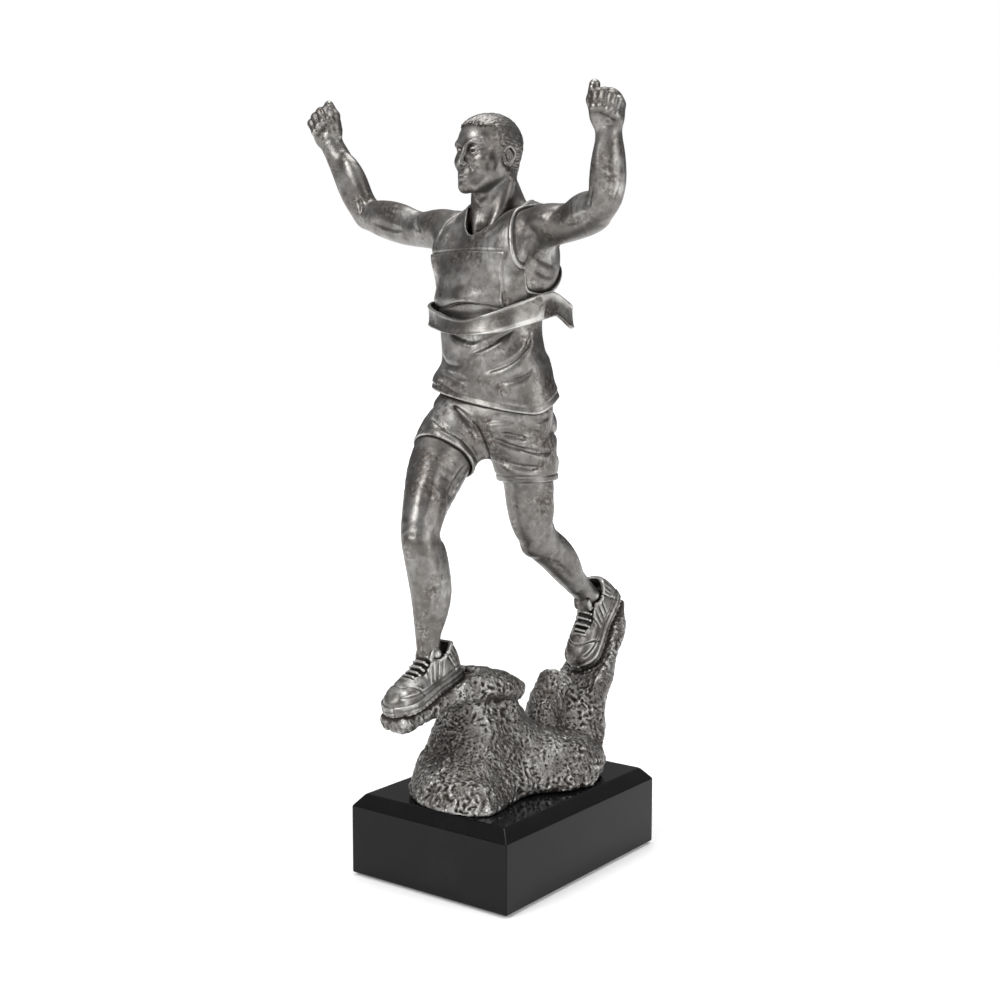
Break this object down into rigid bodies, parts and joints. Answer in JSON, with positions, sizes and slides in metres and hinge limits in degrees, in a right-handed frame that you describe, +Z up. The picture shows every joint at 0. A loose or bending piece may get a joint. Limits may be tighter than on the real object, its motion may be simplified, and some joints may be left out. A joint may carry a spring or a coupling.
{
  "type": "figure trophy",
  "caption": "Trophy with a cast runner in antique silver, arms raised and finish tape across the chest, on a rough rock and a black stone block.",
  "frame": {"origin": "centre of the felt pad's underside, under the middle of the plinth", "axes": "+Z up; the runner faces -Y, along the plinth's long side, and the runner's left side is +X"},
  "size_m": [0.1732, 0.138, 0.303],
  "materials": {
    "antique_silver_resin": "satin",
    "black_stone": "polished",
    "steel": "satin",
    "brass": "satin",
    "felt": "matte"
  },
  "bodies": {
    "root": {"plinth": "black_stone", "base_pad": "felt", "rock_base": "antique_silver_resin", "right_shoe": "antique_silver_resin", "left_shoe": "antique_silver_resin", "right_leg": "antique_silver_resin", "left_leg": "antique_silver_resin", "shorts": "antique_silver_resin", "torso": "antique_silver_resin", "finish_tape": "antique_silver_resin", "head": "antique_silver_resin", "left_arm": "antique_silver_resin", "right_arm": "antique_silver_resin", "left_fist": "antique_silver_resin", "right_fist": "antique_silver_resin", "threaded_insert": "brass", "fixing_screw": "steel", "washer": "steel", "locating_pin": "steel", "right_ankle_rod": "steel", "left_ankle_rod": "steel", "right_hip_dowel": "steel", "left_hip_dowel": "steel", "waist_dowel": "steel", "neck_dowel": "steel", "left_shoulder_dowel": "steel", "right_shoulder_dowel": "steel", "left_wrist_dowel": "steel", "right_wrist_dowel": "steel"}
  },
  "joints": []
}
